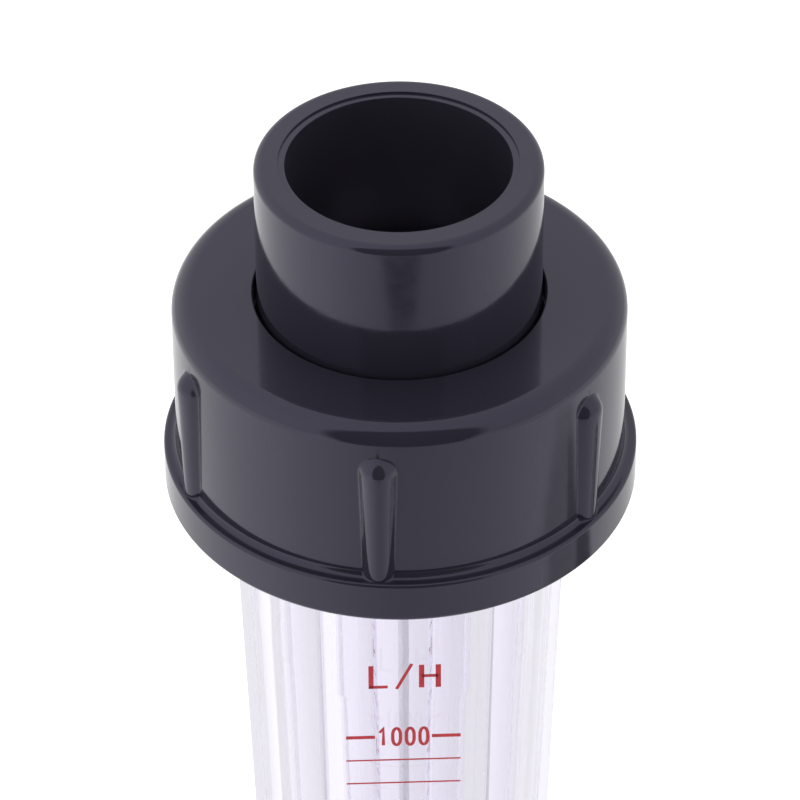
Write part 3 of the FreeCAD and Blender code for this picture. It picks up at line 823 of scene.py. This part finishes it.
# %% Union nuts
def nut_shell(turn):
    """The nut but for its ribbed side: rounded edge, end wall, seat, thread, mouth and flange."""
    outline = rounded([
        (NUT_R, WALL_TOP),
        (NUT_R, NUT_TOP, NUT_ROUND - ROUND_ROOM),
        (NUT_HOLE_R, NUT_TOP, 0.15),
        (NUT_HOLE_R, SHOULDER_T, 0.3),
        (NUT_SEAT_R, SHOULDER_T, 0.3),
        (NUT_SEAT_R, SEAT_LOW, 0.2),
        (NUT_ROOT_R, SEAT_LOW),
    ], closed=False)
    rows = circles(*outline)
    thread_low = NUT_MOUTH + MOUTH_CHAMFER
    rows += reversed(thread_rows(0, thread_low, SEAT_LOW, NUT_ROOT_R, NUT_CREST, INSIDE_RIDGE))
    outline = rounded([
        (NUT_ROOT_R, thread_low),
        (NUT_ROOT_R + MOUTH_CHAMFER, NUT_MOUTH, 0.2),
        (LIP_R, NUT_MOUTH, 0.5),
        (LIP_R, LIP_TOP, LIP_ROUND),
        (LIP_SEAM_R, LIP_TOP),
    ], closed=False)
    rows += circles(*outline)
    sector = sector_columns()[:-1]
    columns = [turn + 2 * pi / RIBS * rib + angle for rib in range(RIBS) for angle in sector]
    columns.append(columns[0] + 2 * pi)
    return rows, columns


for end, place in ENDS:
    turn = radians(NUT_TURNS[end])
    rows, columns = nut_shell(turn)
    shell = bpy.data.objects.new("nut_shell", grid_mesh("nut_shell", rows, columns, loop=False))
    mesh = run_tree(REPEAT, nut_sector(), Count=RIBS, First_Angle=turn, Shell=shell, Material=DARK_PLASTIC)
    bpy.data.objects.remove(shell)
    mesh.name = f"{end}_nut"
    seal(mesh)
    smooth(mesh)
    add_piece(f"{end}_nut_body", mesh, DARK_PLASTIC, f"{end}_nut", "dark_plastic",
              f"{end}_union_nut", place=place)

# %% [markdown]
# The metering tube is the heart of the meter: six tapered flats outside, so that the scale lies on
# a flat face, and a round bore inside that widens upwards. It is one closed mesh of rows, because
# light bends at every wall of it and a gap or a doubled wall would show. A row's radius may follow
# the six-sided outline, a circle, or a soft maximum of the two where the lower collar flares out.
# The columns are a degree apart for a clean lens, and closer at the six rounded edges.

# %% Six-sided rows
LOW, HIGH = TUBE_LOW / MM, TUBE_HIGH / MM
BORE_TOP_R = 11.2
BORE_LOW_R = 7.05
FLAT_TOP = BORE_TOP_R + 2.78
FLAT_LOW = BORE_LOW_R + 1.44
CORNERS = 6
EDGE_ROUND = 0.035
SIXTH = 2 * pi / CORNERS


def from_corner(angle):
    """Angle from the nearest of six corners, the first of which is on +X."""
    return (angle + SIXTH / 2) % SIXTH - SIXTH / 2


EDGE_CENTRE = (1 - EDGE_ROUND) / cos(SIXTH / 2)
EDGE_SPAN = atan2(EDGE_ROUND * sin(SIXTH / 2), EDGE_CENTRE + EDGE_ROUND * cos(SIXTH / 2))


def six_sided(angle):
    """Radius of a six-sided outline with rounded edges, one unit from the middle to its flats."""
    off = abs(from_corner(angle))
    if off < EDGE_SPAN:
        return EDGE_CENTRE * cos(off) + sqrt(EDGE_ROUND ** 2 - (EDGE_CENTRE * sin(off)) ** 2)
    return 1 / cos(SIXTH / 2 - off)


def flat_at(height):
    """Distance from the axis to the tube's flats."""
    return FLAT_LOW + (FLAT_TOP - FLAT_LOW) * (height - LOW) / (HIGH - LOW)


def flats_row(height, around=None, blend=0.8):
    """A row of the tube's flats, swollen where a round surface stands out further."""
    def place(angle):
        radius = flat_at(height) * six_sided(angle)
        return (soft_max(radius, around, blend) if around else radius, height)
    return place


def tube_columns():
    """Angles a degree apart, and closer at the rounded edges."""
    edges = [SIXTH * corner + EDGE_SPAN * step / 4 for corner in range(CORNERS + 1) for step in range(-4, 5)]
    angles = [radians(degree) for degree in range(361)] + [a for a in edges if 0 <= a <= 2 * pi]
    kept = []
    for angle in sorted(angles):
        if not kept or angle - kept[-1] > radians(0.1):
            kept.append(angle)
    kept[-1] = 2 * pi
    return kept


print(f"flats {FLAT_LOW:.2f} mm out at the foot and {FLAT_TOP:.2f} mm at the top")

# %% [markdown]
# Outside, the rows climb from the lower seal face over a threaded collar, a cone, the flats and the
# upper collar. Inside, they come back down through the O-ring groove, the rod guide's seat and the
# bore, whose taper is blended in at both of its ends.

# %% Metering tube
COLLAR_R = THREAD_R
COLLAR_LENGTH = 12.0
COLLAR_CHAMFER = 0.6
COLLAR_ROUND = 0.2
COLLAR_EDGE = 0.4
THREAD_STOP = 0.6
FLARE_HEIGHT = 6.4
FLARE_TOP_R = BORE_LOW_R + 1.75
FLARE_ROWS = 18
GROOVE_OUTER_R = 15.3
GROOVE_INNER_R = 12.9
GROOVE_DEPTH = 1.9
SEAT_R = 11.9
SEAT_DEPTH = 3.0
WINDOW_R = 9.8
MOUTH_FLARE = 4.0
TAPER_TOP = HIGH - 31.6
TAPER_LOW = LOW + 24.6
TAPER_BLEND = 6.0


def collar_thread(face, low, high):
    """Rows of a collar's thread."""
    return thread_rows(face, low, high, THREAD_R, THREAD_CREST, OUTSIDE_RIDGE)


def tube_outside():
    """Rows from the lower seal face up the outside to the upper one."""
    collar_top, collar_foot = LOW + COLLAR_LENGTH, HIGH - COLLAR_LENGTH
    rows = circles((COLLAR_R - COLLAR_CHAMFER, LOW), (COLLAR_R, LOW + COLLAR_CHAMFER))
    rows += collar_thread(LOW, LOW + COLLAR_CHAMFER, collar_top - THREAD_STOP)
    rows += circles((COLLAR_R, collar_top - COLLAR_EDGE))
    for step in range(FLARE_ROWS + 1):
        share = step / FLARE_ROWS
        around = COLLAR_R - 0.1 + (FLARE_TOP_R - COLLAR_R) * share
        rows.append(flats_row(collar_top + FLARE_HEIGHT * share, around))
    low, high = collar_top + FLARE_HEIGHT + 1.0, collar_foot - COLLAR_EDGE
    rows += [flats_row(height) for height in (low, low + HOLD, high - HOLD, high)]
    rows.append(flats_row(collar_foot, COLLAR_R - 0.5))
    rows += circles((COLLAR_R - COLLAR_ROUND, collar_foot), (COLLAR_R, collar_foot + COLLAR_ROUND))
    rows += collar_thread(HIGH, collar_foot + THREAD_STOP, HIGH - COLLAR_CHAMFER)
    return rows + circles((COLLAR_R, HIGH - COLLAR_CHAMFER), (COLLAR_R - COLLAR_CHAMFER, HIGH))


def tube_inside():
    """Rows from the upper seal face down its groove, seat and bore to the lower one."""
    upper = [
        (GROOVE_OUTER_R, HIGH),
        (GROOVE_OUTER_R, HIGH - GROOVE_DEPTH),
        (GROOVE_INNER_R, HIGH - GROOVE_DEPTH),
        (GROOVE_INNER_R, HIGH),
        (SEAT_R, HIGH, 0.15),
        (SEAT_R, HIGH - SEAT_DEPTH, 0.1),
        (BORE_TOP_R, HIGH - SEAT_DEPTH, 0.15),
    ]
    bore = [
        (BORE_TOP_R, TAPER_TOP, TAPER_BLEND),
        (BORE_LOW_R, TAPER_LOW, TAPER_BLEND),
        (BORE_LOW_R, LOW + SEAT_DEPTH + MOUTH_FLARE, 0.5),
    ]
    lower = [
        (WINDOW_R, LOW + SEAT_DEPTH, 0.2),
        (SEAT_R, LOW + SEAT_DEPTH, 0.1),
        (SEAT_R, LOW, 0.15),
        (GROOVE_INNER_R, LOW),
        (GROOVE_INNER_R, LOW + GROOVE_DEPTH),
        (GROOVE_OUTER_R, LOW + GROOVE_DEPTH),
        (GROOVE_OUTER_R, LOW),
    ]
    first, last = (COLLAR_R - COLLAR_CHAMFER, HIGH), (COLLAR_R - COLLAR_CHAMFER, LOW)
    return circles(*rounded([first, *upper, *bore, *lower, last], closed=False)[1:-1])


TUBE_CREASE = radians(22)
rows = tube_outside() + tube_inside()
mesh = grid_mesh("metering_tube_clear", rows, tube_columns(), crease=TUBE_CREASE)
add_piece("metering_tube_clear", mesh, CLEAR_PLASTIC, "meter", "clear_plastic", "metering_tube")

# %% [markdown]
# The scale is printed on the front flat, which leans outwards as it rises. Everything on it is
# drawn flat first, with X to the right, Y up the flat and Z out of it, and one matrix then lays it
# on the flat. The ink is a very thin solid, just sunk in the plastic, so that no air shows under it.

# %% Place on the front flat
SLOPE = (FLAT_TOP - FLAT_LOW) / (HIGH - LOW)
INK_DEPTH = 0.03
PRINT_SHIFT = -0.29
TOP_MARK = HIGH - 35.25


def on_flat(height):
    """A matrix, in metres, for what is printed about a height on the front flat."""
    right = Vector((1, 0, 0))
    up = Vector((0, -SLOPE, 1)).normalized()
    out = right.cross(up)
    turn = Matrix((right, up, out)).transposed().to_4x4()
    return Matrix.Translation(Vector((PRINT_SHIFT, -flat_at(height), height)) * MM) @ turn


print(f"top mark at {TOP_MARK:.1f} mm, the flat leans out by {SLOPE:.4f}")

# %% [markdown]
# The scale's lines repeat all the way down the flat, so Geometry Nodes lay them: a column of points
# a division apart, a full line on each, except that every fifth has two short bars that leave room
# for its number. The tree's inputs are the scale's own sizes.

# %% Geometry Nodes: scale lines
DIVISION = 3.0
DIVISIONS_PER_NUMBER = 5
NUMBERS = 10
SCALE_INPUTS = (
    ("Count", "Int", (NUMBERS - 1) * DIVISIONS_PER_NUMBER + 1),
    ("Numbered Every", "Int", DIVISIONS_PER_NUMBER),
    ("Division", "Float", DIVISION * MM),
    ("Line Length", "Float", 10.7 * MM),
    ("Line Width", "Float", 0.17 * MM),
    ("Bar Length", "Float", 2.7 * MM),
    ("Bar Width", "Float", 0.40 * MM),
    ("Bar Middle", "Float", 4.0 * MM),
    ("Depth", "Float", INK_DEPTH * MM),
    ("Material", "Material", None),
)


def strip(tree, length, width, depth, shift=None):
    """A thin box, moved sideways if asked."""
    size = add_node(tree, "ShaderNodeCombineXYZ", X=length, Y=width, Z=depth).outputs[0]
    box = add_node(tree, "GeometryNodeMeshCube", Size=size).outputs["Mesh"]
    if shift is None:
        return box
    offset = add_node(tree, "ShaderNodeCombineXYZ", X=shift).outputs[0]
    return add_node(tree, "GeometryNodeTransform", Geometry=box, Translation=offset).outputs["Geometry"]


def scale_tree():
    """Lines and bars of the scale, down from the origin."""
    tree, given = start_tree("scale_lines", SCALE_INPUTS)
    down = calculate(tree, "MULTIPLY", given["Division"], -1.0)
    offset = add_node(tree, "ShaderNodeCombineXYZ", Y=down).outputs[0]
    points = add_node(tree, "GeometryNodeMeshLine", Count=given["Count"], Offset=offset).outputs["Mesh"]
    index = add_node(tree, "GeometryNodeInputIndex").outputs["Index"]
    rest = calculate(tree, "MODULO", index, given["Numbered Every"])
    plain = calculate(tree, "GREATER_THAN", rest, 0.5)
    numbered = calculate(tree, "SUBTRACT", 1.0, plain)
    left = calculate(tree, "MULTIPLY", given["Bar Middle"], -1.0)
    bar = given["Bar Length"], given["Bar Width"], given["Depth"]
    parts = (
        (plain, strip(tree, given["Line Length"], given["Line Width"], given["Depth"])),
        (numbered, strip(tree, *bar, given["Bar Middle"])),
        (numbered, strip(tree, *bar, left)),
    )
    laid = [add_node(tree, "GeometryNodeInstanceOnPoints", Points=points, Selection=chosen, Instance=part)
            for chosen, part in parts]
    finish_tree(tree, [node.outputs["Instances"] for node in laid], given["Material"])
    return tree


lines = run_tree(scale_tree(), bpy.data.meshes.new("empty"), Material=INK)
lines.name = "scale_lines"
add_piece("scale_lines", lines, INK, "meter", None, place=on_flat(TOP_MARK))

# %% [markdown]
# The figures are drawn with single strokes, as a plotter or an engraver draws them: straight runs
# and bows through a cell one unit wide and one high. A ribbon of the stroke's width follows each
# one. A font would do, but its letters are wider and heavier than the narrow ones on such a scale.

# %% Stroke figures
FIGURE_WIDTH = 0.72
FIGURE_HEIGHT = 2.15
FIGURE_PITCH = 1.27
FIGURE_STROKE = 0.32
SAME_SPOT = 1e-4


def bow(x, y, across, up, start, end):
    """Points of an elliptical arc between two angles in degrees."""
    steps = max(3, ceil(abs(end - start) / 15))
    angles = [radians(start + (end - start) * step / steps) for step in range(steps + 1)]
    return [(x + across * cos(angle), y + up * sin(angle)) for angle in angles]


SIX = [bow(0.5, 0.31, 0.5, 0.31, 180, 540), bow(1.0, 0.31, 1.0, 0.69, 180, 100)]
FIGURES = {
    "0": [bow(0.5, 0.62, 0.5, 0.38, 0, 180) + bow(0.5, 0.38, 0.5, 0.38, 180, 360) + [(1.0, 0.62)]],
    "1": [[(0.08, 0.76), (0.55, 1.0), (0.55, 0.0)]],
    "2": [bow(0.5, 0.70, 0.5, 0.30, 170, -25) + [(0.0, 0.0), (1.0, 0.0)]],
    "3": [bow(0.46, 0.76, 0.46, 0.24, 150, -90) + bow(0.46, 0.26, 0.52, 0.26, 90, -150)],
    "4": [[(0.74, 0.0), (0.74, 1.0), (0.0, 0.28), (1.0, 0.28)]],
    "5": [[(0.92, 1.0), (0.16, 1.0), (0.08, 0.56)] + bow(0.46, 0.33, 0.52, 0.33, 125, -150)],
    "6": SIX,
    "7": [[(0.0, 1.0), (1.0, 1.0), (0.36, 0.0)]],
    "8": [bow(0.5, 0.76, 0.42, 0.24, 0, 360), bow(0.5, 0.27, 0.5, 0.27, 0, 360)],
    "9": [[(1 - x, 1 - y) for x, y in path] for path in SIX],
}


def add_ribbon(work, path, width):
    """A thin flat ribbon along a path of points in millimetres, with square ends."""
    spots = [Vector(path[0])]
    spots += [Vector(b) for a, b in zip(path, path[1:]) if (Vector(b) - Vector(a)).length > SAME_SPOT]
    closed = (spots[0] - spots[-1]).length < SAME_SPOT
    if closed:
        spots.pop()
    count = len(spots)
    sections = []
    for index, spot in enumerate(spots):
        ahead = (spots[(index + 1) % count] - spot).normalized()
        behind = (spot - spots[index - 1]).normalized()
        if not closed and index == 0:
            behind = ahead
        if not closed and index == count - 1:
            ahead = behind
        lean = (ahead + behind).normalized().orthogonal()
        reach = width / 2 / max(0.5, lean.dot(ahead.orthogonal()))
        section = []
        for side, level in ((1, -1), (-1, -1), (-1, 1), (1, 1)):
            x, y = spot.x + lean.x * reach * side, spot.y + lean.y * reach * side
            section.append(work.verts.new((x * MM, y * MM, level * INK_DEPTH / 2 * MM)))
        sections.append(section)
    for first, second in zip(sections, sections[1:] + sections[:1] if closed else sections[1:]):
        for side in range(4):
            following = (side + 1) % 4
            work.faces.new((first[side], first[following], second[following], second[side]))
    if not closed:
        work.faces.new(sections[0])
        work.faces.new(sections[-1])


def figures_mesh(name, strokes):
    """One mesh of many strokes, each given as a path, a width and a matrix."""
    mesh = bpy.data.meshes.new(name)
    whole = bmesh.new()
    for path, width, place in strokes:
        before = set(whole.verts)
        add_ribbon(whole, path, width)
        fresh = [vertex for vertex in whole.verts if vertex not in before]
        bmesh.ops.transform(whole, matrix=place, verts=fresh)
    bmesh.ops.remove_doubles(whole, verts=whole.verts, dist=WELD)
    write_mesh(whole, mesh)
    return mesh


def number_strokes(text, height):
    """Strokes of a number centred on a mark."""
    first = -(len(text) - 1) * FIGURE_PITCH / 2 - FIGURE_WIDTH / 2
    for place, figure in enumerate(text):
        left = first + place * FIGURE_PITCH
        for path in FIGURES[figure]:
            sized = [(left + x * FIGURE_WIDTH, (y - 0.5) * FIGURE_HEIGHT) for x, y in path]
            yield sized, FIGURE_STROKE, on_flat(height)


# %% [markdown]
# The numbers go down by hundreds, one to each numbered line. The unit stands above them, in litres
# per hour. Its letters are wider than the figures, so each stroke has a width of its own.

# %% Numbers and unit
NUMBER_STEP = 100
UNIT_RISE = 7.68
LETTER_HALF = 1.43
strokes = []
for step in range(NUMBERS):
    text = str((NUMBERS - step) * NUMBER_STEP)
    strokes += number_strokes(text, TOP_MARK - step * DIVISIONS_PER_NUMBER * DIVISION)
letters = (
    ([(-2.97, LETTER_HALF), (-2.97, -LETTER_HALF)], 0.47),
    ([(-3.20, -LETTER_HALF + 0.17), (-1.43, -LETTER_HALF + 0.17)], 0.35),
    ([(0.80, LETTER_HALF + 0.15), (-0.62, -LETTER_HALF - 0.12)], 0.30),
    ([(1.70, LETTER_HALF), (1.70, -LETTER_HALF)], 0.50),
    ([(3.24, LETTER_HALF), (3.24, -LETTER_HALF)], 0.50),
    ([(1.70, 0.05), (3.24, 0.05)], 0.35),
)
strokes += [(path, width, on_flat(TOP_MARK + UNIT_RISE)) for path, width in letters]
add_piece("scale_figures", figures_mesh("scale_figures", strokes), INK, "meter", None)

# %% [markdown]
# A drawn steel rod runs down the axis and guides the float. A fine thread is cut on both ends for
# the nuts, with the same rows as the coarse one, and the tips are chamfered.

# %% Guide rod
ROD_R = 0.9
ROD_ROOT_R = 0.78
ROD_PITCH = 0.45
ROD_FADE = 0.2
TIP_CHAMFER = 0.15
ROD_LOW, ROD_HIGH = (corner.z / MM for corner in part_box("guide_rod"))
THREAD_REACH = 0.6


def rod_thread(face, low, high):
    """Rows of the fine thread on an end of the rod."""
    return thread_rows(face, low, high, ROD_ROOT_R, ROD_R, OUTSIDE_RIDGE, ROD_PITCH, ROD_FADE)


def rod_rows():
    """Rows up the rod, from the centre of one tip to the centre of the other."""
    tip_r, foot, top = ROD_ROOT_R - TIP_CHAMFER, ROD_LOW + TIP_CHAMFER, ROD_HIGH - TIP_CHAMFER
    low_end, high_start = LOW + THREAD_REACH, HIGH - THREAD_REACH
    low, high = low_end + TIP_CHAMFER, high_start - TIP_CHAMFER
    rows = circles((0, ROD_LOW), (tip_r, ROD_LOW), (ROD_ROOT_R, foot))
    rows += rod_thread(LOW, foot, low_end)
    rows += circles(*((ROD_R, height) for height in (low, low + HOLD, high - HOLD, high)))
    rows += rod_thread(HIGH, high_start, top)
    return rows + circles((ROD_ROOT_R, top), (tip_r, ROD_HIGH), (0, ROD_HIGH))


mesh = grid_mesh("guide_rod", rod_rows(), even_columns(48), loop=False)
add_piece("guide_rod_drawn", mesh, DRAWN_STEEL, "meter", "rod_steel", "guide_rod")

# %% [markdown]
# At each end a moulded guide carries the rod: a rim that drops into the tube's seat, a hub, and
# three arms that let the liquid past. The CAD solid already has the right shape, so a copy of it is
# merged and its flat faces are joined up, and a narrow bevel takes the sharpness off its edges.

# %% Rod guides
GUIDE_EDGE = 0.15
FINE_CREASE = radians(20)


def softened_copy(node, width):
    """A closed copy of a CAD node with narrow rounded edges."""
    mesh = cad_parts[node].data.copy()
    work = bmesh.new()
    work.from_mesh(mesh)
    bmesh.ops.remove_doubles(work, verts=work.verts, dist=0.001 * MM)
    bmesh.ops.dissolve_limit(work, angle_limit=radians(1), verts=work.verts, edges=work.edges)
    work.normal_update()
    sharp = [edge for edge in work.edges if edge.is_manifold and edge.calc_face_angle() > radians(35)]
    bmesh.ops.bevel(work, geom=sharp, offset=width * MM, segments=2, profile=0.5, affect="EDGES",
                    clamp_overlap=True)
    write_mesh(work, mesh)
    smooth(mesh, FINE_CREASE)
    return mesh


for end, place in ENDS:
    node = f"{end}_rod_guide"
    mesh = softened_copy(node, GUIDE_EDGE)
    add_piece(f"{end}_guide_moulded", mesh, WHITE_PLASTIC, "meter", "white_plastic", node)

# %% [markdown]
# The rod's fasteners are small, but they show through the clear tube and down the open sockets. A
# hexagon nut is a six-sided prism whose corners are cut back by a cone at both faces, and that cut
# is what makes it look like a nut. In rows, it is the smaller of the prism's and the cone's radius.

# %% Washers, rod nuts and stops
WASHER_T = 0.4
ROD_NUT_T = 1.6
ROD_NUT_FLAT = 2.0
ROD_NUT_CHAMFER = 0.17
HOLE_CHAMFER = 0.12
ROD_HOLE_R = 0.94
WASHER_R = 2.3
STOP_R = 2.4
STOP_LENGTH = 5.0


def nut_row(height, limit):
    """A row of a hexagon cut back to a limit."""
    return lambda angle: (min(ROD_NUT_FLAT / cos(SIXTH / 2 - abs(from_corner(angle))), limit), height)


def rod_nut_mesh(name):
    """A small hexagon nut on its washer."""
    low, high = WASHER_T, WASHER_T + ROD_NUT_T
    rise = ROD_NUT_FLAT / cos(SIXTH / 2) - ROD_NUT_FLAT
    cone = [(ROD_NUT_CHAMFER * step / 4, ROD_NUT_FLAT + rise * step / 4) for step in range(5)]
    face_r, rim_r = ROD_NUT_FLAT - 0.02, ROD_HOLE_R + HOLE_CHAMFER
    rows = circles((rim_r, low)) + [nut_row(low, face_r)]
    rows += [nut_row(low + inward, limit) for inward, limit in cone]
    rows += [nut_row(high - inward, limit) for inward, limit in reversed(cone)]
    rows += [nut_row(high, face_r)] + circles((rim_r, high))
    rows += circles((ROD_HOLE_R, high - HOLE_CHAMFER), (ROD_HOLE_R, low + HOLE_CHAMFER))
    return grid_mesh(name, rows, even_columns(96), crease=FINE_CREASE)


def sleeve_outline(inner, outer, low, high, edge):
    """The outline of a plain sleeve with rounded edges."""
    return [(inner, low, edge), (outer, low, edge), (outer, high, edge), (inner, high, edge)]


for end, place in ENDS:
    washer = spun_mesh("washer", sleeve_outline(ROD_HOLE_R, WASHER_R, 0, WASHER_T, 0.08), count=72)
    add_piece(f"{end}_washer_pressed", washer, TURNED_STEEL, "meter", "rod_steel",
              f"{end}_rod_washer", place=place)
    nut = rod_nut_mesh("rod_nut")
    add_piece(f"{end}_rod_nut_cut", nut, TURNED_STEEL, "meter", "rod_steel",
              f"{end}_rod_nut", place=place)
    outline = sleeve_outline(ROD_HOLE_R, STOP_R, -SEAT_DEPTH - STOP_LENGTH, -SEAT_DEPTH, 0.25)
    stop = spun_mesh("stop", outline, count=72)
    add_piece(f"{end}_stop_moulded", stop, RUBBER, "meter", "seal_rubber", f"{end}_stop", place=place)

# %% [markdown]
# An O-ring starts round and is squeezed in its groove, so its section is a flattened circle: flat
# against the groove's floor and the tailpiece, and still round at its sides.

# %% Seals
SEAL_SIDE = 0.1
SEAL_ROUND = 0.8
outline = sleeve_outline(GROOVE_INNER_R + SEAL_SIDE, GROOVE_OUTER_R - SEAL_SIDE, 0, -GROOVE_DEPTH, SEAL_ROUND)
for end, place in ENDS:
    seal_mesh = spun_mesh("seal", outline)
    add_piece(f"{end}_seal", seal_mesh, RUBBER, "meter", "seal_rubber", f"{end}_o_ring", place=place)

# %% [markdown]
# The float is turned from one bar: a short foot, a long cone, the reading edge, a short crown and a
# neck. The reading edge is left nearly sharp, because the flow is read against it, and every other
# edge is broken with a small round. White bushes at its two ends run on the rod.

# %% Float
FLOAT_LOW, FLOAT_HIGH = (corner.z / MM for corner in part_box("float_body"))
FLOAT_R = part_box("float_body")[1].x / MM
FLOAT_END_R = 3.0
FLOAT_BORE_R = 1.9
BUSH_R = 1.88
BUSH_HOLE_R = 0.98
BUSH_LENGTH = 3.0
FOOT_TOP, CONE_TOP, EDGE_TOP, CROWN_TOP = (FLOAT_LOW + rise for rise in (2.0, 16.0, 17.2, 18.8))
FLOAT_OUTLINE = [
    (FLOAT_BORE_R, FLOAT_LOW, 0.2),
    (FLOAT_END_R, FLOAT_LOW, 0.3),
    (FLOAT_END_R, FOOT_TOP, 0.4),
    (FLOAT_R, CONE_TOP, 0.3),
    (FLOAT_R, EDGE_TOP, 0.08),
    (FLOAT_END_R, CROWN_TOP, 0.4),
    (FLOAT_END_R, FLOAT_HIGH, 0.3),
    (FLOAT_BORE_R, FLOAT_HIGH, 0.2),
]
mesh = spun_mesh("float_turned", FLOAT_OUTLINE, count=128)
add_piece("float_turned", mesh, TURNED_STEEL, "float", "float_steel", "float_body")
for end, low in (("lower", FLOAT_LOW), ("upper", FLOAT_HIGH - BUSH_LENGTH)):
    bush = spun_mesh("bush", sleeve_outline(BUSH_HOLE_R, BUSH_R, low, low + BUSH_LENGTH, 0.15), count=72)
    add_piece(f"float_{end}_bush_moulded", bush, WHITE_PLASTIC, "float", "white_plastic", f"float_{end}_bush")
